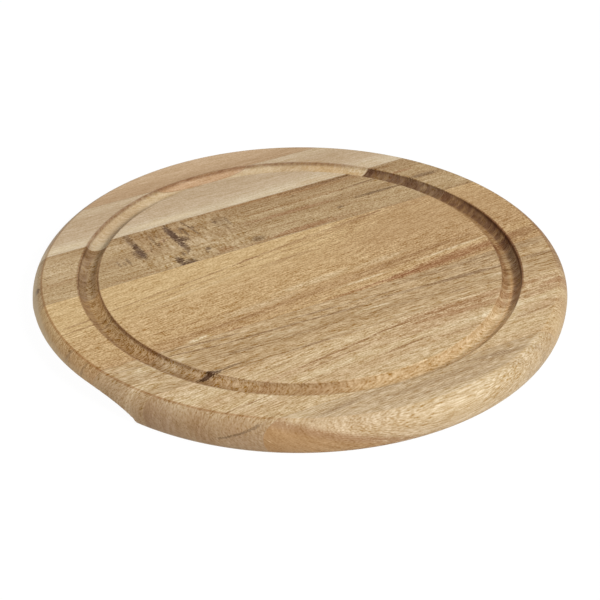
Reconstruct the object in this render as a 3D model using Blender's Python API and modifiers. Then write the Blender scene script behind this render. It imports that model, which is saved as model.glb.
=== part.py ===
"""Round serving board: edge-glued hardwood staves, turned to a round with a soft rim, a juice groove
in the top face and a finger scoop under each end of the grain.

Metres, +Z up. The origin is the centre of the underside, and the grain runs along X.
"""

import math

import bmesh
import bpy
from mathutils import Matrix

# The finished round
BOARD_DIAMETER = 0.300
BOARD_THICKNESS = 0.020

# Turned rim: a tight curve from the top face out to the widest line, a slower one in to the underside
TOP_EDGE_INSET = 0.0058
TOP_ROUND_HEIGHT = 0.0093
BOTTOM_EDGE_INSET = 0.0040

# Juice groove, cut with a round-nosed cutter
GROOVE_BORDER = 0.0257
GROOVE_WIDTH = 0.0111
GROOVE_DEPTH = 0.0050

# Finger scoops: the wood left above, how far they reach under, and their level and sloping lengths
SCOOP_LIP = 0.0081
SCOOP_REACH = 0.016
SCOOP_LEVEL_LENGTH = 0.070
SCOOP_END_LENGTH = 0.032

# Edge joints: a glue film between two planed edges
GLUE_FILM = 0.0002
GLUE_CLEARANCE = 0.0001

# Staves in order from front to back, laid out from the front-most joint. The two edge staves run out to
# the rim, with a little spare wood that the turning takes off.
FRONT_JOINT = 0.1205
FRONT_STAVE_WIDTH = 0.0495
INNER_FRONT_STAVE_WIDTH = 0.0335
HEART_STAVE_WIDTH = 0.0728
KNOTTY_STAVE_WIDTH = 0.0462
CREAM_STAVE_WIDTH = 0.0390
TURNING_ALLOWANCE = 0.003

# Colours of the oiled wood and of the cured glue, as linear values
STAVE_COLOURS = {
    "front_edge_stave": (0.526, 0.377, 0.223),
    "front_stave": (0.564, 0.396, 0.224),
    "inner_front_stave": (0.484, 0.329, 0.182),
    "heart_stave": (0.525, 0.353, 0.176),
    "knotty_stave": (0.425, 0.289, 0.152),
    "cream_stave": (0.556, 0.421, 0.274),
    "back_edge_stave": (0.509, 0.347, 0.207),
}
GLUE_COLOUR = (0.42, 0.30, 0.17)
WOOD_ROUGHNESS = 0.55
GLUE_ROUGHNESS = 0.45

# Fineness of the round surfaces
TURNED_STEPS = 120
ARC_STEPS = 8
SCOOP_STATIONS = 9
SCOOP_SIDES_HALF = 12
SHARP_ANGLE = math.radians(22)

BOARD_RADIUS = BOARD_DIAMETER / 2
WIDEST_HEIGHT = BOARD_THICKNESS - TOP_ROUND_HEIGHT
SCOOP_HEIGHT = BOARD_THICKNESS - SCOOP_LIP


def arc(centre, radii, start, end, steps):
    """Points of an elliptical arc in the plane of radius and height, angles counted up from outwards."""
    points = []
    for step in range(steps + 1):
        angle = start + (end - start) * step / steps
        points.append((centre[0] + radii[0] * math.cos(angle), centre[1] + radii[1] * math.sin(angle)))
    return points


def groove_profile():
    """The groove's section: one arc that passes through both lips and the groove's floor."""
    radius = (GROOVE_WIDTH ** 2 / 4 + GROOVE_DEPTH ** 2) / (2 * GROOVE_DEPTH)
    half_angle = math.acos((radius - GROOVE_DEPTH) / radius)
    centre = (
        BOARD_RADIUS - GROOVE_BORDER - GROOVE_WIDTH / 2,
        BOARD_THICKNESS - GROOVE_DEPTH + radius,
    )
    floor = -math.pi / 2
    return arc(centre, (radius, radius), floor - half_angle, floor + half_angle, ARC_STEPS + 2)


def rim_profile():
    """The rim's section: a circular arc from the top face to the widest line, then a quarter ellipse."""
    radius = (TOP_EDGE_INSET ** 2 + TOP_ROUND_HEIGHT ** 2) / (2 * TOP_EDGE_INSET)
    top_angle = math.atan2(TOP_ROUND_HEIGHT, radius - TOP_EDGE_INSET)
    upper = arc((BOARD_RADIUS - radius, WIDEST_HEIGHT), (radius, radius), top_angle, 0, ARC_STEPS)
    lower = arc(
        (BOARD_RADIUS - BOTTOM_EDGE_INSET, WIDEST_HEIGHT),
        (BOTTOM_EDGE_INSET, WIDEST_HEIGHT),
        0,
        -math.pi / 2,
        ARC_STEPS,
    )
    return upper + lower[1:]


def new_collection(name):
    collection = bpy.data.collections.new(name)
    bpy.context.scene.collection.children.link(collection)
    return collection


def add_cutter(name, mesh, cutters):
    cutter = bpy.data.objects.new(name, mesh)
    cutter.hide_render = True
    cutter.display_type = "WIRE"
    cutters.objects.link(cutter)
    return cutter


def turned_round(cutters):
    """The whole turned shape, spun from its section, which every stave is cut to."""
    section = [(0, BOARD_THICKNESS)] + groove_profile() + rim_profile() + [(0, 0)]
    edges = [(i, i + 1) for i in range(len(section) - 1)]
    mesh = bpy.data.meshes.new("turned_round")
    mesh.from_pydata([(radius, 0, height) for radius, height in section], edges, [])
    turned = add_cutter("turned_round", mesh, cutters)
    screw = turned.modifiers.new("Spin", "SCREW")
    screw.axis = "Z"
    screw.angle = 2 * math.pi
    screw.steps = TURNED_STEPS
    screw.render_steps = TURNED_STEPS
    screw.use_merge_vertices = True
    screw.merge_threshold = 0.00001
    return turned


def scoop_stations():
    """Places along a scoop from end to end: the distance along the rim and the share of the full section.
    The section is full over the level length and falls off as a quarter ellipse over each end."""
    half_level = SCOOP_LEVEL_LENGTH / 2
    half = []
    for station in range(SCOOP_STATIONS):
        half.append((half_level * station / SCOOP_STATIONS, 1.0))
    for station in range(SCOOP_STATIONS + 1):
        angle = math.pi / 2 * station / SCOOP_STATIONS
        half.append((half_level + SCOOP_END_LENGTH * math.sin(angle), math.cos(angle)))
    return [(-along, share) for along, share in reversed(half[1:])] + half


def finger_scoop(name, middle_angle, cutters):
    """A tapering tube laid along the rim at the height of the underside, its section flattened from a
    circle as wide as the scoop reaches under the board to the scoop's height."""
    stations = scoop_stations()
    curve = bpy.data.curves.new(name, "CURVE")
    curve.dimensions = "3D"
    curve.twist_mode = "Z_UP"
    curve.bevel_depth = SCOOP_REACH
    curve.bevel_resolution = SCOOP_SIDES_HALF - 2
    curve.use_fill_caps = True
    spline = curve.splines.new("POLY")
    spline.points.add(len(stations) - 1)
    for point, (along, share) in zip(spline.points, stations):
        angle = middle_angle + along / BOARD_RADIUS
        point.co = (BOARD_RADIUS * math.cos(angle), BOARD_RADIUS * math.sin(angle), 0, 1)
        point.radius = share
    tube = bpy.data.objects.new(name, curve)
    cutters.objects.link(tube)
    mesh = evaluated_mesh(tube)
    bpy.data.objects.remove(tube)
    weld(mesh)
    mesh.transform(Matrix.Diagonal((1, 1, SCOOP_HEIGHT / SCOOP_REACH, 1)))
    return add_cutter(name, mesh, cutters)


def evaluated_mesh(source):
    """A plain mesh of an object with its modifiers or its curve's bevel worked out."""
    depsgraph = bpy.context.evaluated_depsgraph_get()
    return bpy.data.meshes.new_from_object(source.evaluated_get(depsgraph))


def weld(mesh):
    """Closes a tube's caps and its pointed ends, and turns its faces outwards."""
    work = bmesh.new()
    work.from_mesh(mesh)
    bmesh.ops.remove_doubles(work, verts=work.verts, dist=0.000001)
    bmesh.ops.recalc_face_normals(work, faces=work.faces)
    work.to_mesh(mesh)
    work.free()


def finish_material(name, colour, roughness):
    material = bpy.data.materials.new(name)
    material.use_nodes = True
    shader = material.node_tree.nodes["Principled BSDF"]
    shader.inputs["Base Color"].default_value = (*colour, 1)
    shader.inputs["Roughness"].default_value = roughness
    shader.inputs["Metallic"].default_value = 0
    return material


def layout():
    """The staves and glue films from front to back, as (name, front edge, back edge) along Y."""
    inner_widths = {
        "front_stave": FRONT_STAVE_WIDTH,
        "inner_front_stave": INNER_FRONT_STAVE_WIDTH,
        "heart_stave": HEART_STAVE_WIDTH,
        "knotty_stave": KNOTTY_STAVE_WIDTH,
        "cream_stave": CREAM_STAVE_WIDTH,
    }
    joints = [-FRONT_JOINT]
    for width in inner_widths.values():
        joints.append(joints[-1] + width)
    names = ["front_edge_stave", *inner_widths, "back_edge_stave"]
    outside = BOARD_RADIUS + TURNING_ALLOWANCE
    edges = [-outside, *joints, outside]
    half_joint = GLUE_FILM / 2 + GLUE_CLEARANCE
    pieces = [
        (name, front + half_joint, back - half_joint)
        for name, front, back in zip(names, edges, edges[1:])
    ]
    for number, joint in enumerate(joints, start=1):
        pieces.append((f"glue_line_{number}", joint - GLUE_FILM / 2, joint + GLUE_FILM / 2))
    return pieces


def cut_piece(name, front, back, turned, scoops, board):
    """A straight strip of the glued-up panel, cut to the turned shape and hollowed by the scoops."""
    length = BOARD_DIAMETER + 2 * TURNING_ALLOWANCE
    height = BOARD_THICKNESS + 2 * TURNING_ALLOWANCE
    strip = bmesh.new()
    bmesh.ops.create_cube(strip, size=1)
    bmesh.ops.scale(strip, vec=(length, back - front, height), verts=strip.verts)
    bmesh.ops.translate(strip, vec=(0, (front + back) / 2, BOARD_THICKNESS / 2), verts=strip.verts)
    mesh = bpy.data.meshes.new(name)
    strip.to_mesh(mesh)
    strip.free()
    piece = bpy.data.objects.new(name, mesh)
    board.objects.link(piece)
    turning = piece.modifiers.new("Turning", "BOOLEAN")
    turning.operation = "INTERSECT"
    turning.object = turned
    for scoop in scoops:
        hollow = piece.modifiers.new("Scoop", "BOOLEAN")
        hollow.operation = "DIFFERENCE"
        hollow.object = scoop
    piece.data = evaluated_mesh(piece)
    piece.modifiers.clear()
    piece.data.name = name
    piece.data.shade_smooth()
    piece.data.set_sharp_from_angle(angle=SHARP_ANGLE)
    return piece


def build():
    for old in list(bpy.data.objects):
        bpy.data.objects.remove(old)
    board = new_collection("round_serving_board")
    cutters = new_collection("cutters")
    turned = turned_round(cutters)
    scoops = [
        finger_scoop("finger_scoop_right", 0, cutters),
        finger_scoop("finger_scoop_left", math.pi, cutters),
    ]
    materials = {
        name: finish_material(f"oiled_wood_{name}", colour, WOOD_ROUGHNESS)
        for name, colour in STAVE_COLOURS.items()
    }
    glue = finish_material("cured_glue", GLUE_COLOUR, GLUE_ROUGHNESS)
    for name, front, back in layout():
        piece = cut_piece(name, front, back, turned, scoops, board)
        piece.data.materials.clear()
        piece.data.materials.append(materials.get(name, glue))


build()
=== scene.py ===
"""Looks of a round serving board: seven hardwood staves glued edge to edge and turned to a round.

Metres, +Z up, with the grain along X and the front edge at -Y. Sizes and the wood's figure are written in
millimetres, as X along the grain and Y across it.
"""

import math
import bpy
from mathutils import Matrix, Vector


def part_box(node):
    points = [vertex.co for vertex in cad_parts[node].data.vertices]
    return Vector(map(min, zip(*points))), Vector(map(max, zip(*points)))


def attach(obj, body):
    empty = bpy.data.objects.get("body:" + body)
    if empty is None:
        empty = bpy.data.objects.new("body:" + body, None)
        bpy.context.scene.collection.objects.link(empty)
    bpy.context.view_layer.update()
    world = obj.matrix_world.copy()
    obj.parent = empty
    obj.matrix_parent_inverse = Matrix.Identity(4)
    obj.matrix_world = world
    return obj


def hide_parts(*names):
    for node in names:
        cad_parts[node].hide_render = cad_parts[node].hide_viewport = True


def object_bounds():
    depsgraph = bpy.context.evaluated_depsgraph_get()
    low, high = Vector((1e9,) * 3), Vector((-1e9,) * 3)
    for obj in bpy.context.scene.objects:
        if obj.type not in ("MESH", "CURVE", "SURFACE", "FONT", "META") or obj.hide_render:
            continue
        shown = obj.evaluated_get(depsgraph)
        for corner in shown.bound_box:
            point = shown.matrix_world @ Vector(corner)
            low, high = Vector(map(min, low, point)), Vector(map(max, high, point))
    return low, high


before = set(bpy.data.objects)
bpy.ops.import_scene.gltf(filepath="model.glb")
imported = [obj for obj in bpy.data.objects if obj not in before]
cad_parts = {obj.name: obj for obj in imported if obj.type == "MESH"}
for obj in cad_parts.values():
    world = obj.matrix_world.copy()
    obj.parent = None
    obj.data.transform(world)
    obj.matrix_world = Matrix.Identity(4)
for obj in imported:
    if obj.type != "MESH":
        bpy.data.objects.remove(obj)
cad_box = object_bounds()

from types import SimpleNamespace

import bmesh
import bpy
import numpy as np
from mathutils import Matrix, Vector

# The turned round
# One panel of glued hardwood staves, turned to a disc with a soft rim. A round-nosed cutter has run the
# juice groove round its top, and a finger scoop is hollowed under each end of the grain.
MM = 0.001
RADIUS = (cad_box[1].y - cad_box[0].y) / 2 / MM
THICKNESS = (cad_box[1].z - cad_box[0].z) / MM
GROOVE_INNER = 113.2
GROOVE_OUTER = 124.3
GROOVE_DEPTH = 5.0
TOP_EDGE = RADIUS - 5.8
WIDEST_HEIGHT = 10.7
FOOT_INSET = 4.0
SANDED_EASE = 0.7
SCOOP_REACH = 16.0
SCOOP_HEIGHT = 11.9
SCOOP_HALF_LEVEL = 35.0
SCOOP_END = 32.0
SCOOP_EASE = 2.0
CORE = (133.0, 16.5)
ANGLES = 480
ARC_POINTS = 200
FINE_STEP = 0.05
ROW_TURN = math.radians(6)
ROW_RADII = [0, 104, 112, 126, 130, RADIUS]
ROW_SPACING = [14, 4, 0.9, 0.9, 0.8, 0.6]
UNCUT = 1000.0
LEAST_SHARE = 0.001
SHARP_ANGLE = math.radians(30)


def arc(centre, radii, start, end):
    """Points of an elliptical arc in the plane of radius and height, at even steps of its angle."""
    turn = np.linspace(start, end, ARC_POINTS)
    return np.stack([centre[0] + radii[0] * np.cos(turn), centre[1] + radii[1] * np.sin(turn)], 1)


def turned_section():
    """The section from the middle of the top to the middle of the underside: the groove is one arc through
    its lips and floor, the rim an arc down to the widest line and a quarter ellipse in to the foot.
    Averaging its points over a short run rounds the lips and the arris. Rows lie closer where the section
    turns and out towards the rim."""
    half_width = (GROOVE_OUTER - GROOVE_INNER) / 2
    cutter = (half_width ** 2 + GROOVE_DEPTH ** 2) / (2 * GROOVE_DEPTH)
    half_turn = math.acos((cutter - GROOVE_DEPTH) / cutter)
    groove_centre = (GROOVE_INNER + half_width, THICKNESS - GROOVE_DEPTH + cutter)
    inset, drop = RADIUS - TOP_EDGE, THICKNESS - WIDEST_HEIGHT
    rim = (inset ** 2 + drop ** 2) / (2 * inset)
    corners = np.concatenate([
        [(0, THICKNESS)],
        arc(groove_centre, (cutter, cutter), -math.pi / 2 - half_turn, -math.pi / 2 + half_turn),
        arc((RADIUS - rim, WIDEST_HEIGHT), (rim, rim), math.atan2(drop, rim - inset), 0),
        arc((RADIUS - FOOT_INSET, WIDEST_HEIGHT), (FOOT_INSET, WIDEST_HEIGHT), 0, -math.pi / 2),
        [(0, 0)],
    ])
    length = np.r_[0, np.cumsum(np.hypot(*np.diff(corners, axis=0).T))]
    fine = np.arange(0, length[-1], FINE_STEP)
    points = np.stack([np.interp(fine, length, side) for side in corners.T], 1)
    window = np.ones(int(SANDED_EASE / FINE_STEP) | 1)
    padded = np.pad(points, ((len(window) // 2,) * 2, (0, 0)), mode="edge")
    eased = np.stack([np.convolve(side, window / len(window), "valid") for side in padded.T], 1)
    step = np.diff(eased, axis=0)
    heading = np.unwrap(np.arctan2(step[:, 1], step[:, 0]))
    spacing = np.interp(eased[1:, 0], ROW_RADII, ROW_SPACING)
    measure = np.cumsum(np.hypot(*step.T) / spacing + np.abs(np.gradient(heading)) / ROW_TURN)
    rows = np.linspace(measure[0], measure[-1], int(measure[-1]))
    section = np.stack([np.interp(rows, measure, side) for side in eased[1:].T], 1)
    section[[0, -1], 0] = 0
    return section


def scoop_share(angle):
    """How much of the scoop's full section is cut at an angle: all of it along the level length in the
    middle of either end of the grain, then less, as a quarter ellipse."""
    along = RADIUS * np.minimum(np.abs(angle), np.abs(np.abs(angle) - math.pi))
    slope = np.clip((along - SCOOP_HALF_LEVEL) / SCOOP_END, 0, 1)
    return np.sqrt(1 - slope ** 2)


def turned_round():
    """The whole surface on a grid of section rows by angles. Each point lies some way from a core line
    inside the rim. A scoop cuts that way short where it meets the scoop's ellipse, whose middle is the foot
    of the rim's widest circle, and a smooth minimum of the two ways rounds the edge between rim and
    scoop."""
    section = turned_section()
    angle = np.linspace(-math.pi, math.pi, ANGLES, endpoint=False)
    out, up = section[:, :1] - CORE[0], section[:, 1:] - CORE[1]
    way = np.hypot(out, up)
    out, up = out / way, up / way
    share = np.maximum(scoop_share(angle), LEAST_SHARE)
    wide, high = SCOOP_REACH * share, SCOOP_HEIGHT * share
    first = (CORE[0] - RADIUS) / wide
    second = CORE[1] / high
    square = (out / wide) ** 2 + (up / high) ** 2
    middle = out / wide * first + up / high * second
    root = middle ** 2 - square * (first ** 2 + second ** 2 - 1)
    meets = (root > 0) & (middle < 0) & (out > 0)
    cut = np.where(meets, (-middle - np.sqrt(np.maximum(root, 0))) / square, UNCUT)
    blend = np.clip(0.5 + 0.5 * (cut - way) / SCOOP_EASE, 0, 1)
    way = cut * (1 - blend) + way * blend - SCOOP_EASE * blend * (1 - blend)
    radius, height = CORE[0] + out * way, CORE[1] + up * way
    grid = np.stack([radius * np.cos(angle), radius * np.sin(angle), height], 2)
    rings = grid[1:-1].reshape(-1, 3)
    points = np.concatenate([grid[:1, 0], rings, grid[-1:, 0]]) * MM
    ring, spoke = np.meshgrid(np.arange(len(grid) - 3), np.arange(ANGLES), indexing="ij")
    here = 1 + ring * ANGLES + spoke
    beside = 1 + ring * ANGLES + (spoke + 1) % ANGLES
    quads = np.stack([here, here + ANGLES, beside + ANGLES, beside], 2).reshape(-1, 4)
    first_ring, last_ring = here[0], here[-1] + ANGLES
    top_fan = np.stack([np.zeros(ANGLES, int), first_ring, np.roll(first_ring, -1)], 1)
    foot_fan = np.stack([np.full(ANGLES, len(points) - 1), np.roll(last_ring, -1), last_ring], 1)
    mesh = bpy.data.meshes.new("turned_round")
    mesh.from_pydata(points, [], quads.tolist() + top_fan.tolist() + foot_fan.tolist())
    return mesh


def slice_of_round(name, front, back):
    """The part of the round between two upright planes across the grain's width, its planed edges closed
    flat. The end_grain attribute is how squarely each corner of the surface faces along the grain."""
    work = bmesh.new()
    work.from_mesh(whole_round)
    for place, outwards in ((front, -1), (back, 1)):
        cut = bmesh.ops.bisect_plane(
            work,
            geom=[*work.verts, *work.edges, *work.faces],
            dist=1e-7,
            plane_co=(0, place, 0),
            plane_no=(0, outwards, 0),
            clear_outer=True,
        )
        edges = [part for part in cut["geom_cut"] if isinstance(part, bmesh.types.BMEdge)]
        bmesh.ops.holes_fill(work, edges=edges)
    bmesh.ops.triangulate(work, faces=[face for face in work.faces if len(face.verts) > 4])
    mesh = bpy.data.meshes.new(name)
    work.to_mesh(mesh)
    work.free()
    mesh.shade_smooth()
    mesh.set_sharp_from_angle(angle=SHARP_ANGLE)
    normals = np.empty(3 * len(mesh.loops))
    mesh.corner_normals.foreach_get("vector", normals)
    attribute = mesh.attributes.new("end_grain", "FLOAT", "CORNER")
    attribute.data.foreach_set("value", np.abs(normals[::3]))
    piece = bpy.data.objects.new(name, mesh)
    bpy.context.scene.collection.objects.link(piece)
    return piece


def film_edges(number):
    """Front and back of a glue film along Y, from the frame."""
    low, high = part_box(f"glue_line_{number}")
    return low.y, high.y


whole_round = turned_round()
films = {number: film_edges(number) for number in range(1, 7)}

# Front edge stave
# The narrow strip at the front, of pale cream sapwood with open pores and golden brown low down on its
# left. Its back edge is planed and glued to the next stave, and the turning of the rim has trimmed its
# outer side.


def paint(red, green, blue):
    """A colour given as screen values from 0 to 255, as the linear values that a shader takes."""
    screen = np.array([red, green, blue]) / 255
    linear = np.where(screen <= 0.04045, screen / 12.92, ((screen + 0.055) / 1.055) ** 2.4)
    return (*linear.tolist(), 1.0)


DARK_FIBRE = (0.50, 0.32, 0.00, 1.0)
PALE_FIBRE = (1.50, 1.68, 2.00, 1.0)
CUT_DULL = (0.60, 0.52, 0.44, 1.0)
# Groove tint at the right of the front staves: partly the cut wood's own colour, partly painted light where
# the outer wall shades the groove.
CUT_BUFF_PAINTED_LIGHT = (0.81, 0.76, 0.70, 1.0)
RUDDY = (0.66, 0.54, 0.47, 1.0)
# Scorched wood on the groove's outer walls, with painted shade at the right end where the rim shades the
# wall.
SCORCHED_AND_SHADED = (0.43, 0.35, 0.38, 1.0)
# Painted light: a tint above 1 that brightens groove walls lying in shade.
PAINTED_LIGHT_WALL = (1.36, 1.28, 1.20, 1.0)
# Dark brown along the groove's lips: partly painted shade under the steep walls, partly scorched wood.
LIP_SHADE_BROWN = (0.42, 0.30, 0.23, 1.0)
PLAIN_END = (1.00, 0.92, 0.84, 1.0)
RIGHT_END = (0.84, 0.79, 0.72, 1.0)
RIM_DULL = (0.88, 0.89, 0.90, 1.0)
ARRIS_AMBER = (0.68, 0.54, 0.41, 1.0)
# Painted shade on the thin edge of the rim at the far right, which lies in shadow.
FAR_EDGE_SHADE = (0.72, 0.62, 0.52, 1.0)
# Painted highlight: a pale line standing in for the white room's reflection on the left rim.
PAINTED_RIM_HIGHLIGHT = paint(206, 186, 152)
SMOKE = paint(148, 119, 87)
CREAM = paint(226, 206, 170)
WHEAT = paint(204, 179, 141)
FAWN = paint(193, 167, 131)
AMBER = paint(176, 141, 99)
AUBURN = paint(154, 115, 78)
MARK_REACH = 0.75
MARK_DEPTH = 1000.0
MARK_FADE = (0.2, 0.667)
OILED_GLOSS = 0.12
FIBRE_RELIEF = 0.12 * MM


class Grain:
    """A value or colour that varies through the wood, or with the light. It wraps a shader socket:
    arithmetic on it adds Math nodes, and node() adds any other node, with its settings first and then the
    values or links of its sockets."""

    def __init__(self, socket):
        self.socket = socket

    def node(self, kind, settings, inputs, output=0):
        tree = self.socket.id_data
        made = tree.nodes.new("ShaderNode" + kind)
        for name, value in settings.items():
            if name == "stops":
                ramp = made.color_ramp
                for place, colour in value[2:]:
                    ramp.elements.new(place)
                for stop, (place, colour) in zip(ramp.elements, value):
                    stop.position = place
                for stop, (place, colour) in zip(ramp.elements, value):
                    stop.color = colour
            elif name == "mapping":
                for field, amount in value.items():
                    setattr(made.texture_mapping, field, amount)
            else:
                setattr(made, name, value)
        for name, value in inputs.items():
            if isinstance(value, Grain):
                tree.links.new(value.socket, made.inputs[name])
            else:
                made.inputs[name].default_value = value
        return Grain(made.outputs[output])

    def math(self, operation, *values):
        return self.node("Math", {"operation": operation}, dict(enumerate(values)))

    def __add__(self, other):
        return self.math("ADD", self, other)

    def __sub__(self, other):
        return self.math("SUBTRACT", self, other)

    def __rsub__(self, other):
        return self.math("SUBTRACT", other, self)

    def __mul__(self, other):
        return self.math("MULTIPLY", self, other)

    def __truediv__(self, other):
        return self.math("DIVIDE", self, other)

    def __abs__(self):
        return self.math("ABSOLUTE", self)

    __radd__ = __add__
    __rmul__ = __mul__

    def between(self, nothing, full):
        """Rises smoothly from 0 where this value is nothing to 1 where it is full."""
        inputs = {"Value": self, "From Min": nothing, "From Max": full}
        return self.node("MapRange", {"interpolation_type": "SMOOTHSTEP"}, inputs)

    def tinted(self, colour, share, blend="MIX"):
        """This colour with another one laid over it."""
        settings = {"data_type": "RGBA", "blend_type": blend}
        return self.node("Mix", settings, {0: share, 6: self, 7: colour}, 2)

    def fade(self, first, second):
        """A colour that goes from the first to the second as this value goes from 0 to 1."""
        return self.node("Mix", {"data_type": "RGBA"}, {0: self, 6: first, 7: second}, 2)


def squeezed(point, along, across, down):
    """A point with its distances along the grain, across it and down through the wood each counted in a
    unit."""
    inputs = {0: point, 1: (1 / along, 1 / across, 1 / down)}
    return point.node("VectorMath", {"operation": "MULTIPLY"}, inputs)


def streaks(point, along, across, down, detail=0.0):
    """Streaks along the grain, about as long, as wide and as deep as given, around nought."""
    unit = squeezed(point, along, across, down)
    inputs = {"Vector": unit, "Scale": 1.0, "Detail": detail, "Roughness": 0.55}
    return point.node("TexNoise", {"noise_dimensions": "3D"}, inputs) - 0.5


def pores(point, along, across, size):
    """Open pores: spindles along the grain, each one near the middle of a cell."""
    inputs = {"Vector": squeezed(point, along, across, across), "Scale": 1.0, "Randomness": 1.0}
    return point.node("TexVoronoi", {"voronoi_dimensions": "3D"}, inputs).between(size, size * 0.4)


def marks(point, ragged, places):
    """Flecks, lines and bars of other colour that run down through the wood: each is an ellipse with a
    middle along and across the grain, a length, a width, a tilt in degrees and a strength, and fades out at
    its ragged edge."""
    total = 0
    for x, y, length, width, tilt, strength in places:
        ellipse = {
            "vector_type": "TEXTURE",
            "translation": (x, y, 0),
            "rotation": (0, 0, math.radians(tilt)),
            "scale": (length * MARK_REACH, width * MARK_REACH, MARK_DEPTH),
        }
        settings = {"gradient_type": "SPHERICAL", "mapping": ellipse}
        mound = point.node("TexGradient", settings, {"Vector": point}, "Fac")
        total = total + (mound - ragged).between(*MARK_FADE) * strength
    return total.math("MINIMUM", total, 1)


def places_in_round(nodes):
    """Where a point of the wood lies, in millimetres: along the grain, across it, up, and out from the
    board's middle. ends is how squarely the surface faces along the grain. cut rises to 1 in the juice
    groove, turned on the turned edge and rim round its side, and torn is the left of the groove, where the
    cutter tore the wood."""
    place = Grain(nodes.new("ShaderNodeTexCoord").outputs["Object"])
    point = place.node("VectorMath", {"operation": "SCALE"}, {0: place, "Scale": 1 / MM}, "Vector")
    x, y, z = (Grain(socket) for socket in point.node("SeparateXYZ", {}, {0: point}).socket.node.outputs)
    spokes = point.node("VectorMath", {"operation": "MULTIPLY"}, {0: point, 1: (1, 1, 0)})
    radius = spokes.node("VectorMath", {"operation": "LENGTH"}, {0: spokes}, "Value")
    ends = Grain(nodes.new("ShaderNodeAttribute").outputs["Fac"])
    ends.socket.node.attribute_name = "end_grain"
    past_inner_lip = radius.between(GROOVE_INNER - 1, GROOVE_INNER)
    within_outer_lip = radius.between(GROOVE_OUTER + 1, GROOVE_OUTER)
    cut = (THICKNESS - z).between(0.1, 0.8) * past_inner_lip * within_outer_lip
    return SimpleNamespace(
        point=point, x=x, y=y, z=z, radius=radius, ends=ends, cut=cut,
        turned=radius.between(TOP_EDGE - 1, TOP_EDGE + 2),
        rim=radius.between(TOP_EDGE + 1, RADIUS - 1),
        torn=cut * radius.between(122, 116) * x.between(-50, -90) * y.between(86, 60),
    )


def fibre_tone(wood, ring=1.0, strand=1.0, stroke=1.0, sand=1.0, curl=0.0, pore=0.1, dotted=0.0, coarse=0.0):
    """How light the fibres are, around a half. Growth rings, strands, short strokes and sandy specks count
    as much as given, and pores darken. curl ripples the left half across the grain, and coarse strengthens
    strokes and specks towards the front. dotted trades the strokes of the turned edge for fine dashes and
    pores; other staves have a calmer rim, with streaks on the ends of the grain. The torn wood in the
    groove is mottled."""
    tone = streaks(wood.lined, 120, 3.0, 18, 2.0) * (0.34 * ring) + wood.strands * strand
    tone = tone + wood.strokes * (stroke - wood.turned * (stroke * dotted))
    tone = tone + wood.specks * (sand + wood.torn * 0.8) + streaks(wood.point, 3, 2, 2) * wood.torn * 0.8
    if curl:
        ripples = streaks(wood.lined, 1.4, 4, 8) * wood.x.between(15, -15) * wood.x.between(-85, -70)
        tone = tone + ripples * curl
    if coarse:
        tone = tone + (wood.strokes + wood.specks) * wood.y.between(10, -10) * coarse
    tone = 0.5 + tone * (1 - wood.rim * (0.45 - 0.45 * dotted)) - wood.open_pores * pore
    if dotted:
        dashes = streaks(wood.lined, 8, 0.5, 0.5) * 1.1 - pores(wood.lined, 4, 0.8, 0.42) * 0.16
        return tone + dashes * wood.turned * wood.x.between(-85, -40) * dotted
    return tone + streaks(wood.point, 8, 1.3, 14, 1.0) * wood.ends * wood.ends * (1 - wood.cut) * 0.7


def groove_tints(colour, wood, cut_faces):
    """What the groove's cutter laid open: one tint at the left and one at the right, the right one on the
    front staves partly painted light where the outer wall shades the groove, a ruddy inner wall at the right
    front, outer walls scorched at both ends of the grain with painted shade added at the right, painted light
    on the shaded walls at the left back and the right front, and dark lips that are partly painted shade."""
    x, y, radius = wood.x, wood.y, wood.radius
    # The left inner wall lies in shade away from the lamps. Painted light there takes back much of the cut
    # tint and, at the back, brightens the wall.
    left_wall_painted_light = radius.between(118, 114) * x.between(-60, -100)
    # Left to right fade of the cut tints. On the front staves the lighter right one is partly painted light.
    cut_tint = x.between(-55, -15).fade(*cut_faces)
    colour = colour.tinted(cut_tint, wood.cut * (0.95 - left_wall_painted_light * 0.7 + wood.specks), "MULTIPLY")
    char = streaks(wood.point, 7, 3.2, 7, 3.0)
    right_wall = radius.between(118.3, 115.5) * x.between(70, 105) * y.between(-12, -28)
    ruddy = (wood.cut * right_wall + wood.torn * 0.25) * (0.95 + char * 1.6 + wood.specks * 1.2)
    colour = colour.tinted(RUDDY, ruddy, "MULTIPLY")
    # Outer walls darkened at both ends of the grain: scorched wood, and at the right also painted shade, the
    # wall there lying in the rim's shadow.
    right_scorch_and_shade = x.between(72, 94) * y.between(82, 81) * (1 - y.between(-5, -40) * 0.35)
    scorch_and_shade = radius.between(118.8, 120.6) * (right_scorch_and_shade + x.between(-75, -100) * 0.6)
    colour = colour.tinted(SCORCHED_AND_SHADED, wood.cut * scorch_and_shade * (0.78 + char * 2.4 + wood.specks * 0.8), "MULTIPLY")
    # Painted light on the front outer wall, where the rim casts its shadow, and on the left inner wall at the
    # back.
    front_bed = radius.between(117.5, 119) * radius.between(123.5, 122)
    front_wall_painted_light = front_bed * y.between(-45, -70) * x.between(0, 40)
    colour = colour.tinted(PAINTED_LIGHT_WALL, wood.cut * (left_wall_painted_light * y.between(0, 35) + front_wall_painted_light), "MULTIPLY")
    # Dark lines along both lips: partly painted shade where the steep walls below the lips fall into shadow,
    # partly scorched wood.
    left_lip_shade = x.between(-20, -90) * y.between(-75, -35)
    right_lip_shade = x.between(90, 112) * (y.between(35, -5) * 1.4 + y.between(-5, -30) * 1.2)
    inner_lip_shade = abs(radius - GROOVE_INNER).between(0.9, 0.15) * (left_lip_shade + x.between(70, 110) * 0.6)
    outer_lip_shade = abs(radius - GROOVE_OUTER - 0.2).between(1.1, 0.2) * ((y - x).between(-40, 40) + right_lip_shade)
    return colour.tinted(LIP_SHADE_BROWN, (inner_lip_shade + outer_lip_shade) * (0.7 + wood.strokes), "MULTIPLY")


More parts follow.
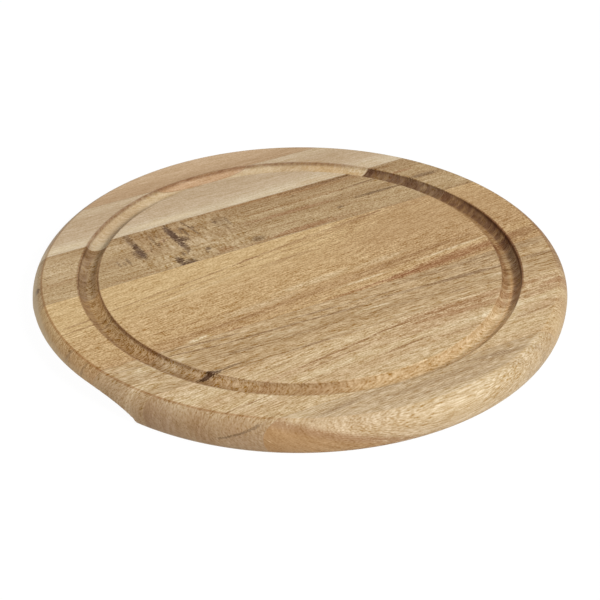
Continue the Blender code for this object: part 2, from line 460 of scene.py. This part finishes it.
def rim_tints(colour, wood, left_end):
    """What the turning laid open: duller ends of the grain, with one tint at the left and one at the right,
    a dull rim with a painted highlight along its widest line on the left, standing in for a reflection, an
    amber arris that is partly painted shade at the far right, and painted shade on the edge at the far right."""
    x, y, radius = wood.x, wood.y, wood.radius
    end_tint = x.between(-40, 40).fade(left_end, RIGHT_END)
    colour = colour.tinted(end_tint, wood.ends * (1 - wood.cut) * (0.95 + wood.specks * 0.6), "MULTIPLY")
    colour = colour.tinted(RIM_DULL, wood.turned, "MULTIPLY")
    # A painted highlight along the widest line of the left rim, standing in for the reflection of the white
    # room at a grazing angle.
    widest = (radius + y.between(0, 60) * 2).between(148.2, 149.9)
    rim_highlight = widest * x.between(-100, -130) * y.between(-70, 20)
    colour = colour.tinted(PAINTED_RIM_HIGHLIGHT, rim_highlight * 0.5)
    # At the far right the amber line is laid on more strongly, partly as painted shade on the shadowed top
    # edge.
    right_arris_shade = x.between(120, 140) * y.between(0, -20) * 1.5
    arris = abs(radius - TOP_EDGE - 0.4).between(1.0, 0.15) * (x.between(-50, -110) + right_arris_shade)
    colour = colour.tinted(ARRIS_AMBER, arris * (0.8 + wood.specks * 1.5), "MULTIPLY")
    # Painted shade on the thin sliver of rim at the far right.
    return colour.tinted(FAR_EDGE_SHADE, radius.between(144.5, 146.5) * x.between(122, 140), "MULTIPLY")


def oiled_wood(
    name, bands, slope, lean, figures, left_end, cut_faces, bend=0.0, wander=4.0, fine=0.8, deep=1.2, **fibres
):
    """Oiled hardwood in three dimensions. Bands of colour lie across the stave at distances from the
    board's middle, on lines that slope and bend with the grain, lean through the thickness and wander.
    Figures are laid over them: each is a colour, its marks, and any layers of the wood that hold it, each
    with its slope along the grain and the heights where it has nothing and all of the figure. fine and deep
    are the width and the depth of the fibres, and the rest goes to fibre_tone."""
    material = bpy.data.materials.new(name)
    material.use_nodes = True
    shader = material.node_tree.nodes["Principled BSDF"]
    wood = places_in_round(material.node_tree.nodes)
    point, x, y, z = wood.point, wood.x, wood.y, wood.z
    drift = streaks(point, 70, 14, 30, 1.0) * wander
    across = y - x * slope - x * x * bend + (THICKNESS - z) * lean + drift
    wood.lined = point.node("CombineXYZ", {}, {0: x, 1: across, 2: z})
    wood.strands = streaks(wood.lined, 22, fine, 2)
    wood.strokes = streaks(wood.lined, 5, fine, deep)
    wood.specks = streaks(point, 1.1, 0.65, 0.65)
    wood.open_pores = pores(wood.lined, 4, 1.0, 0.36)
    first, last = bands[0][0], bands[-1][0]
    stops = [((place - first) / (last - first), band) for place, band in bands]
    colour = point.node("ValToRGB", {"stops": stops}, {0: (across - first) / (last - first)})
    ragged = wood.strands * 0.33 + wood.strokes * 0.33 + wood.specks * 0.53
    for tint, places, *layers in figures:
        share = marks(point, ragged, places)
        for rise, nothing, full in layers:
            share = share * (z + x * rise + wood.specks * 2).between(nothing, full)
        colour = colour.tinted(tint, share)
    fibre_tint = fibre_tone(wood, **fibres).fade(DARK_FIBRE, PALE_FIBRE)
    colour = colour.tinted(fibre_tint, 1.0, "MULTIPLY")
    colour = groove_tints(colour, wood, cut_faces)
    colour = rim_tints(colour, wood, left_end)
    roughness = 0.5 + wood.strokes * 0.2 + wood.open_pores * 0.15 + wood.cut * 0.1
    height = wood.strokes * 0.6 - wood.open_pores + wood.specks * 0.5
    relief = height.node("Bump", {}, {"Height": height, "Strength": 0.2, "Distance": FIBRE_RELIEF})
    for socket, look in (("Base Color", colour), ("Roughness", roughness), ("Normal", relief)):
        material.node_tree.links.new(look.socket, shader.inputs[socket])
    shader.inputs["Specular IOR Level"].default_value = OILED_GLOSS
    return material


def fit_stave(name, front, back, material):
    """Cuts a stave from the round, gives it its wood and puts it in the place of its CAD node."""
    piece = slice_of_round(f"{name}_wood", front, back)
    piece.data.materials.append(material)
    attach(piece, "root")
    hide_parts(name)


PAST_RIM = (RADIUS + 1) * MM
front_edge_wood = oiled_wood(
    "front_edge_wood",
    bands=[(-156, WHEAT), (-147, WHEAT), (-138, FAWN), (-124, FAWN), (-112, WHEAT)],
    slope=0.06,
    lean=0.8,
    wander=1.0,
    deep=4.0,
    left_end=PLAIN_END,
    cut_faces=(CUT_DULL, CUT_BUFF_PAINTED_LIGHT),
    figures=[
        (SMOKE, [
            (-30, -125, 60, 5, 3, 0.25), (42, -125.5, 40, 3, -2, 0.4), (10, -131, 90, 6, 2, 0.3),
            (24, -137, 90, 5, 2, 0.25), (-50, -128, 30, 3, 6, 0.4), (60, -128, 50, 4, -3, 0.4),
        ]),
        (CREAM, [
            (20, -142, 90, 6, 4, 0.1), (75, -124, 40, 5, 28, 0.3), (-78, -125, 30, 6, 4, 0.4),
            (46, -142, 110, 16, 18, 0.22),
        ]),
        (AUBURN, [(-66, -134, 140, 80, 0, 0.75)], (0.26, 1.2, -2.8)),
        (AMBER, [(-66, -134, 140, 80, 0, 0.9)], (0.26, -3.0, -7.5)),
    ],
    fine=0.6,
    ring=1.7,
    strand=0.25,
    sand=0.35,
    dotted=0.85,
)
fit_stave("front_edge_stave", -PAST_RIM, films[1][0], front_edge_wood)

# Front stave
# The second stave from the front, of pale tan hardwood with thin red-brown lines. Its edges are planed
# straight and glued to its neighbours, and its ends are turned with the rim.
DULL_END = (0.50, 0.40, 0.36, 1.0)
TAN = paint(196, 166, 126)
STRAW = paint(204, 177, 136)
ROSY = paint(172, 133, 94)
BROWN = paint(158, 121, 80)
BARK = paint(96, 71, 50)
front_wood = oiled_wood(
    "front_wood",
    bands=[(-126, TAN), (-112, STRAW), (-100, TAN), (-92, STRAW), (-84, TAN), (-76, STRAW), (-66, TAN)],
    slope=0.05,
    bend=-0.0003,
    lean=0.5,
    left_end=DULL_END,
    cut_faces=(CUT_DULL, CUT_BUFF_PAINTED_LIGHT),
    figures=[
        (CREAM, [
            (70, -91.5, 90, 5, 0, 0.45), (-112, -80, 60, 20, 0, 0.3), (-30, -94, 60, 5, 6, 0.25),
            (84, -84, 46, 14, 56, 0.5), (52, -106, 50, 12, 26, 0.5), (10, -104, 60, 4, 4, 0.25),
            (-80, -102, 40, 9, 5, 0.3), (80, -101, 34, 8, 6, 0.3),
        ]),
        (ROSY, [
            (70, -75.5, 120, 7, 0, 0.7), (62, -81.5, 90, 5, -2, 0.6), (105, -87, 40, 4, 4, 0.5),
            (95, -99, 36, 5, 8, 0.25), (120, -81, 30, 6, 4, 0.8), (-60, -88, 50, 2.5, 6, 0.3),
            (20, -88, 60, 3, 4, 0.3), (40, -83, 60, 22, 0, 0.2),
        ]),
        (BROWN, [
            (-22, -82.8, 62, 1.6, 8, 0.9), (12, -77.6, 30, 1.6, 6, 0.9), (48, -76.2, 50, 1.6, -1, 0.8),
            (-28, -87.6, 70, 1.4, 7, 0.6), (-62, -79.5, 40, 1.3, 5, 0.5), (12, -95.6, 36, 1.8, 6, 0.8),
            (46, -98, 24, 1.6, 2, 0.5), (5, -119.5, 26, 1.8, 3, 0.8), (-90, -102, 30, 1.6, 6, 0.7),
            (-84, -118, 24, 1.4, 6, 0.4), (88, -102, 30, 1.8, 4, 0.6), (97, -86, 30, 1.6, 3, 0.6),
            (-48, -99, 50, 1.3, 6, 0.4), (70, -84.5, 36, 1.3, -2, 0.4),
        ]),
        (BARK, [(-96, -114, 40, 30, 0, 0.5)], (-0.59, 71.3, 70.5), (-0.59, 69.3, 70.1), (0, 19, 16.5)),
        (FAWN, [(-96, -114, 30, 24, 0, 0.5)], (-0.59, 70.1, 69.1)),
    ],
    fine=0.6,
    ring=0.5,
    strand=0.15,
    stroke=0.9,
    sand=0.7,
    pore=0.12,
)
fit_stave("front_stave", films[1][1], films[2][0], front_wood)

# Inner front stave
# The third stave from the front, of tan hardwood with thin grey-brown streaks that fall slightly to the
# right and a dark knot at the groove. Its edges are planed straight and glued to its neighbours.
FADED_END = (0.78, 0.71, 0.68, 1.0)
BUFF = paint(190, 160, 119)
DRIFT = paint(180, 150, 110)
inner_front_wood = oiled_wood(
    "inner_front_wood",
    bands=[(-74, DRIFT), (-66, BUFF), (-60, DRIFT), (-54, DRIFT), (-48, BUFF), (-42, BUFF), (-34, DRIFT)],
    slope=-0.035,
    lean=-0.3,
    left_end=FADED_END,
    cut_faces=(CUT_DULL, CUT_BUFF_PAINTED_LIGHT),
    figures=[
        (CREAM, [
            (-112, -48, 40, 8, -4, 0.4), (15, -55.5, 30, 3, 0, 0.4), (20, -68, 140, 2, 0, 0.35),
            (-128, -62, 30, 5, -4, 0.3), (-122, -55, 60, 44, 0, 0.2), (95, -60, 60, 4, -3, 0.3),
            (-40, -53, 50, 3, -3, 0.3),
        ]),
        (SMOKE, [
            (-80, -40.4, 56, 1.7, -4, 0.72), (-90, -44.8, 36, 1.6, -7, 0.72), (-45, -47.8, 70, 1.8, -2, 0.72),
            (-14, -44, 36, 1.8, -3, 0.72), (22, -45.6, 40, 1.5, -2, 0.56), (-4, -50, 36, 2.4, -2, 0.64),
            (60, -51.2, 110, 3.2, -3, 0.6), (84, -52, 50, 6, -3, 0.32), (-68, -57, 26, 3.0, -3, 0.48),
            (-30, -58, 50, 1.6, -3, 0.32), (-76, -67.4, 36, 1.5, -3, 0.4), (-32, -70, 30, 1.3, 0, 0.64),
            (65, -63.6, 12, 2.4, 0, 0.48), (100, -45, 50, 1.8, -2, 0.48), (80, -46.5, 60, 4, -2, 0.3),
            (112, -41, 60, 7, 0, 0.4), (66, -41, 70, 5, 0, 0.4), (126, -53.5, 30, 3.6, -4, 0.56),
            (35, -60, 50, 1.4, -2, 0.32), (96, -66, 40, 1.6, -2, 0.4), (-126, -44, 30, 1.6, -4, 0.4),
        ]),
        (BARK, [
            (-92.4, -66.8, 12, 3.0, -20, 1.0), (-87.6, -68.2, 6, 4, 0, 0.6), (-80, -67.4, 18, 1.6, 8, 0.5),
        ]),
    ],
    fine=0.6,
    ring=0.6,
    strand=0.65,
    stroke=1.1,
    sand=0.6,
    pore=0.2,
)
fit_stave("inner_front_stave", films[2][1], films[3][0], inner_front_wood)

# Heart stave
# The widest stave, in the middle: golden heartwood with thin brown lines that rise to the right. Its edges
# are planed straight and glued to its neighbours, and the finger scoops are cut deepest into its two ends.
SOFT_END = (0.80, 0.71, 0.65, 1.0)
CUT_BROWN = (0.72, 0.66, 0.60, 1.0)
GOLD = paint(203, 172, 124)
HONEY = paint(194, 161, 115)
TOFFEE = paint(180, 145, 102)
RUSSET = paint(152, 103, 66)
heart_wood = oiled_wood(
    "heart_wood",
    bands=[(-52, TOFFEE), (-34, HONEY), (-25, TOFFEE), (-14, HONEY), (4, HONEY), (20, GOLD), (50, GOLD)],
    slope=0.1,
    lean=0.3,
    left_end=SOFT_END,
    cut_faces=(CUT_BROWN, CUT_BROWN),
    figures=[
        (TOFFEE, [(100, 10, 150, 80, 0, 0.75), (30, 28, 80, 7, 6, 0.4), (95, 33, 60, 8, 4, 0.2)]),
        (BROWN, [
            (-72, 16.4, 90, 1.8, 6.5, 0.55), (-4, 24.9, 80, 1.8, 7, 0.55), (50, 31.2, 60, 2.0, 6, 0.55),
            (-70, 12.2, 100, 1.4, 7, 0.45), (10, 21.2, 100, 1.3, 5, 0.4), (-85, 2.4, 56, 1.4, 3, 0.4),
            (-5, 13.2, 40, 1.3, 4, 0.35), (-22, 22.8, 18, 2.2, 7, 0.5), (66, 32.8, 20, 2.6, 7, 0.6),
            (66, -18.4, 90, 2.8, 5, 0.8), (46, -23.6, 70, 2.0, 2, 0.6), (-30, -28, 70, 2.4, 3, 0.5),
            (-66, -30.4, 80, 2.2, 0, 0.5), (-76, -20.6, 60, 2.0, -1, 0.4), (96, -21.4, 40, 2.0, 5, 0.5),
            (-20, -33.6, 80, 1.6, 2, 0.4), (128, -29, 46, 9, 5, 0.95), (96, -33, 60, 8, 4, 0.4),
            (-130, 4, 36, 1.6, 5, 0.6), (-128, 9.5, 36, 1.6, 6, 0.7), (0, 13, 50, 5, 6, 0.25),
            (62, -34, 70, 6, 3, 0.8),
        ]),
        (CREAM, [
            (-82, -36, 16, 3.2, 6, 0.8), (25, -28, 40, 2.2, 2, 0.45), (86, -23.6, 60, 2.2, 4, 0.45),
            (0, -15.5, 60, 6, 4, 0.3), (-40, -23, 60, 6, 3, 0.25), (45, -14, 40, 5, 4, 0.25),
            (-60, 9, 80, 3, 6, 0.2),
        ]),
        (RUSSET, [(80, -31.5, 96, 9, 5, 0.55), (25, -35.2, 70, 2.6, 2.5, 0.5), (-60, -37, 10, 2, 0, 0.5)]),
        (BARK, [(-116, 6.2, 10, 1.4, 20, 0.35), (-147, -12, 8, 3, 0, 0.35), (-146, -27, 8, 2, 0, 0.3)]),
    ],
    fine=0.7,
    ring=0.5,
    strand=0.45,
    stroke=0.5,
    sand=0.7,
    pore=0.05,
    coarse=0.32,
)
fit_stave("heart_stave", films[3][1], films[4][0], heart_wood)

# Knotty stave
# The third stave from the back, of grey-brown, curly hardwood with two dark bars across the grain and small
# knots. Its edges are planed straight and glued to its neighbours.
CUT_OLIVE = (0.80, 0.77, 0.74, 1.0)
ASH = paint(180, 152, 112)
HAZEL = paint(166, 136, 97)
knotty_wood = oiled_wood(
    "knotty_wood",
    bands=[(34, HAZEL), (39, ASH), (50, ASH), (57, HAZEL), (66, ASH), (72, HAZEL), (80, HAZEL)],
    slope=0.01,
    lean=0.2,
    left_end=PLAIN_END,
    cut_faces=(CUT_OLIVE, CUT_OLIVE),
    figures=[
        (WHEAT, [
            (-120, 68, 60, 26, 0, 0.5), (-84, 71, 40, 12, 0, 0.5), (-82, 55, 30, 6, 0, 0.3),
            (-120, 55, 50, 8, 0, 0.4), (-120, 39, 40, 6, 0, 0.4), (-38, 56, 30, 9, 0, 0.5),
            (-30, 75, 30, 8, 0, 0.4),
        ]),
        (CREAM, [
            (45, 64.6, 100, 4, 1, 0.2), (-64, 40, 14, 3, 10, 0.35), (-60, 48, 14, 2, 12, 0.3),
            (-27, 48, 12, 2, -25, 0.3), (-52, 57, 4, 5, 0, 0.25), (-22, 51, 12, 1.6, -20, 0.25),
        ]),
        (BROWN, [
            (22, 80.2, 110, 3.0, 0, 0.9), (40, 78, 60, 5, 0, 0.4), (10, 66.6, 34, 1.6, 0, 0.6),
            (75, 67, 40, 2.2, 2, 0.5), (2, 36.8, 70, 1.8, 0, 0.6), (-84, 37.6, 50, 1.6, 1, 0.4),
            (-125, 52, 40, 3, 2, 0.4), (70, 43, 60, 1.6, 1, 0.35), (20, 47, 40, 1.6, 0, 0.4),
            (-66, 70, 30, 26, 0, 0.25), (-40, 68, 26, 24, 0, 0.25), (60, 50, 60, 3, 0, 0.3),
            (42, 67, 60, 5, 0, 0.4), (42, 39, 60, 6, 0, 0.4), (66, 78, 80, 7, 0, 0.6),
        ]),
        (RUSSET, [
            (-53.5, 65.5, 8, 3, 10, 0.4), (-26, 39.5, 12, 6, 0, 0.35), (25, 38.6, 50, 5, 0, 0.45),
            (28, 58.5, 62, 4, -1, 0.4), (110, 68.5, 20, 2.4, 0, 0.5), (-66, 59.5, 6, 2, 0, 0.3),
        ]),
        (BARK, [
            (-70.3, 73.5, 5.0, 24, 0, 0.55), (-69.9, 61, 5.0, 20, 0, 0.7), (-72.2, 58.5, 7.0, 13, 0, 0.5),
            (-45.7, 68, 5.4, 27, 0, 1.0), (-42.4, 61.5, 5.0, 7, 0, 0.8), (-39.6, 61, 1.8, 6, 0, 0.5),
            (-45.2, 53, 4.6, 15, 0, 0.65), (-54.6, 40.6, 5.0, 11, 0, 0.9), (-50, 38, 9, 4.5, 0, 0.7),
            (-52, 36.3, 13, 1.4, 0, 0.8), (-49.6, 46.5, 2.6, 5, 0, 0.6), (-38.4, 72.8, 4.6, 4.4, 0, 0.6),
            (-40.2, 69, 1.6, 5, 0, 0.4), (-37.8, 66.5, 2.0, 9, 0, 0.55), (-32.6, 67, 1.6, 13, 10, 0.6),
            (-34.4, 76, 1.8, 11, 12, 0.5), (-31.6, 71, 1.8, 4, 0, 0.6), (-34.8, 45, 4.0, 4.0, 30, 0.7),
            (-36.6, 42, 2.2, 3, 0, 0.45), (-80.5, 54.5, 2.2, 9, 0, 0.5), (-83.4, 53, 2.0, 6, 0, 0.4),
            (-86.5, 54, 2.0, 8, 0, 0.4), (-58.5, 68, 2.6, 15, 0, 0.4), (-61.4, 65, 1.4, 6, -20, 0.4),
            (-57, 63, 1.6, 5, -25, 0.5), (-53, 65.4, 1.4, 5, -20, 0.45), (-50.4, 66, 1.2, 4, -20, 0.35),
            (-63.5, 60, 1.2, 5, -25, 0.35), (-55, 71, 1.2, 6, -10, 0.35), (-47, 46, 1.4, 5, -10, 0.4),
            (-4.5, 40.5, 9, 6, 0, 0.5), (-18, 70, 3.0, 4, 0, 0.45), (-10.5, 67, 2.6, 13, 0, 0.35),
            (-15, 68, 10, 14, 0, 0.25), (-14, 60, 2.0, 5, 0, 0.35), (-26, 66, 1.4, 6, 15, 0.3),
            (55, 49, 5, 3, 10, 0.5), (84, 54.3, 36, 2.8, 0, 0.6), (80, 67.6, 26, 1.8, 2, 0.5),
            (118, 58, 22, 4, 0, 0.5), (66, 79.5, 84, 4, 0, 0.3),
        ]),
        (BARK, [(-138, 53.5, 8, 5, 0, 0.9)], (0, 16.2, 17.4), (0, 19.6, 18.4)),
    ],
    ring=1.1,
    strand=0.6,
    stroke=0.3,
    curl=0.7,
)
fit_stave("knotty_stave", films[4][1], films[5][0], knotty_wood)

# Cream stave
# The palest stave, second from the back, of close cream sapwood. Its edges are planed straight and glued to
# its neighbours, and the back of the juice groove runs beside its joint with the back edge stave.
CUT_CREAM = (0.91, 0.91, 0.86, 1.0)
IVORY = paint(207, 187, 156)
OAT = paint(195, 171, 140)
SHELL = paint(188, 163, 131)
LINEN = paint(198, 175, 143)
FLAX = paint(192, 169, 137)
CLOSE_GRAIN = {"ring": 0.55, "strand": 0.3, "stroke": 0.25, "sand": 0.38, "pore": 0.03}
cream_wood = oiled_wood(
    "cream_wood",
    bands=[(80, IVORY), (87, IVORY), (94, OAT), (106, SHELL), (111, SHELL), (117, LINEN), (122, FLAX)],
    slope=0.0,
    lean=0.2,
    left_end=PLAIN_END,
    cut_faces=(CUT_CREAM, CUT_CREAM),
    figures=[
        (CREAM, [(-42, 86, 50, 5, 0, 0.45), (30, 84, 90, 3, 0, 0.2), (-110, 86, 50, 6, 0, 0.3)]),
        (TAN, [(80, 88, 60, 10, -50, 0.75), (72, 85, 70, 7, 0, 0.4)]),
    ],
    **CLOSE_GRAIN,
)
fit_stave("cream_stave", films[5][1], films[6][0], cream_wood)

# Back edge stave
# The narrow strip at the back, of pinkish tan hardwood. Its front edge is planed and glued to the next
# stave, and the turning of the rim has trimmed its outer side.
CUT_ROSE = (1.05, 1.07, 1.12, 1.0)
ROSE = paint(182, 151, 116)
PINK = paint(195, 165, 130)
back_edge_wood = oiled_wood(
    "back_edge_wood",
    bands=[(119, ROSE), (126, ROSE), (134, PINK), (150, PINK)],
    slope=0.0,
    lean=0.2,
    left_end=PLAIN_END,
    cut_faces=(CUT_ROSE, CUT_ROSE),
    figures=[(RUSSET, [(0, 122, 90, 4, 0, 0.15)])],
    **CLOSE_GRAIN,
)
fit_stave("back_edge_stave", films[6][1], PAST_RIM, back_edge_wood)

# Glue films
# Cured wood glue in the six edge joints between the staves. Clamping the panel has pressed it out to a
# hair's breadth, and it is turned and sanded flush with the wood.
BEAD_SCALE = 300.0
GLUE_ROUGHNESS = 0.5
GLUE = paint(152, 121, 87)
glue = bpy.data.materials.new("cured_glue")
glue.use_nodes = True
glue_shader = glue.node_tree.nodes["Principled BSDF"]
glue_place = Grain(glue.node_tree.nodes.new("ShaderNodeTexCoord").outputs["Object"])
beads = glue_place.node("TexNoise", {}, {"Vector": glue_place, "Scale": BEAD_SCALE, "Detail": 2.0})
glue_colour = beads.node("ValToRGB", {"stops": [(0.3, GLUE), (0.7, SMOKE)]}, {0: beads})
glue.node_tree.links.new(glue_colour.socket, glue_shader.inputs["Base Color"])
glue_shader.inputs["Roughness"].default_value = GLUE_ROUGHNESS
for number, (front, back) in films.items():
    film = slice_of_round(f"glue_film_{number}", front, back)
    film.data.materials.append(glue)
    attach(film, "root")
    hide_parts(f"glue_line_{number}")

# Floor
# A plain sheet of white paper, spread out a hair below the board. The camera and reflections see it as
# white, with a light trace of the board's shadow.
FLOOR_REACH = 8.0
FLOOR_DROP = 0.0002
PAPER_GREY = (0.85, 0.85, 0.85, 1)
WHITE = (1, 1, 1, 1)
PAPER_GLOW = 1.03
SHADOW_SHARE = 0.06


def in_sight(nodes):
    """1 on what the camera sees, straight or by way of a reflection or a clear piece, and 0 for other
    light."""
    path = nodes.new("ShaderNodeLightPath").outputs
    seen = Grain(path["Is Camera Ray"])
    for way in ("Is Glossy Ray", "Is Transmission Ray"):
        seen = seen.math("MAXIMUM", seen, Grain(path[way]))
    return seen


floor_points = np.array([(-1, -1, 0), (1, -1, 0), (1, 1, 0), (-1, 1, 0)]) * FLOOR_REACH - (0, 0, FLOOR_DROP)
floor_mesh = bpy.data.meshes.new("floor")
floor_mesh.from_pydata(floor_points, [], [(0, 1, 2, 3)])
floor = bpy.data.objects.new("floor", floor_mesh)
bpy.context.scene.collection.objects.link(floor)
paper = bpy.data.materials.new("white_paper")
paper.use_nodes = True
paper.node_tree.nodes.clear()
seen = in_sight(paper.node_tree.nodes)
sheet = seen.node("BsdfDiffuse", {}, {"Color": PAPER_GREY})
glow = seen.node("Emission", {}, {"Color": WHITE, "Strength": PAPER_GLOW})
white = seen.node("MixShader", {}, {0: seen * (1 - SHADOW_SHARE), 1: sheet, 2: glow})
output = paper.node_tree.nodes.new("ShaderNodeOutputMaterial")
paper.node_tree.links.new(white.socket, output.inputs["Surface"])
floor_mesh.materials.append(paper)

# Light
# Two round soft boxes turned to the board, a strong one in front and to the right and a weaker one low on
# the left, in a white room that fills the shadows.
SOFT_BOX_DISTANCE = 8.0
SOFT_BOX_SIZE = 2.6
SOFT_BOXES = {"key_box": (-80, 38, 585.0), "side_box": (160, 16, 100.0)}
FILL = 0.38
for name, (azimuth, elevation, power) in SOFT_BOXES.items():
    box_data = bpy.data.lights.new(name, "AREA")
    box_data.shape = "DISK"
    box_data.size = SOFT_BOX_SIZE
    box_data.energy = power
    box = bpy.data.objects.new(name, box_data)
    across, up = math.radians(azimuth), math.radians(elevation)
    box.location = SOFT_BOX_DISTANCE * Vector((
        math.cos(up) * math.cos(across),
        math.cos(up) * math.sin(across),
        math.sin(up),
    ))
    box.rotation_euler = box.location.to_track_quat("Z", "Y").to_euler()
    bpy.context.scene.collection.objects.link(box)
world = bpy.data.worlds.new("white_room")
bpy.context.scene.world = world
world.use_nodes = True
room = world.node_tree.nodes["Background"]
room.inputs["Color"].default_value = WHITE
room_light = FILL + in_sight(world.node_tree.nodes) * (1 - FILL)
world.node_tree.links.new(room_light.socket, room.inputs["Strength"])

# Camera
# A long lens in front of the board and above it, with everything sharp. It is turned so that the grain runs
# up to the right, and tipped by a hair.
CAMERA_DISTANCE = 1.147
CAMERA_ELEVATION = math.radians(31.461)
CAMERA_TURN = math.radians(29.3)
CAMERA_ROLL = math.radians(-0.25)
AIM_HEIGHT = -0.00105
LENS = 122.45
SENSOR = 36.0
FARTHEST = 50.0
camera_data = bpy.data.cameras.new("camera")
camera_data.lens = LENS
camera_data.sensor_width = SENSOR
camera_data.clip_end = FARTHEST
camera = bpy.data.objects.new("camera", camera_data)
camera.location = Vector((0, 0, THICKNESS * MM)) + CAMERA_DISTANCE * Vector((
    -math.sin(CAMERA_TURN) * math.cos(CAMERA_ELEVATION),
    -math.cos(CAMERA_TURN) * math.cos(CAMERA_ELEVATION),
    math.sin(CAMERA_ELEVATION),
))
aim = (camera.location - Vector((0, 0, AIM_HEIGHT))).to_track_quat("Z", "Y").to_matrix()
camera.rotation_euler = (aim @ Matrix.Rotation(CAMERA_ROLL, 3, "Z")).to_euler()
bpy.context.scene.collection.objects.link(camera)
bpy.context.scene.camera = camera
bpy.context.scene.view_settings.view_transform = "Standard"
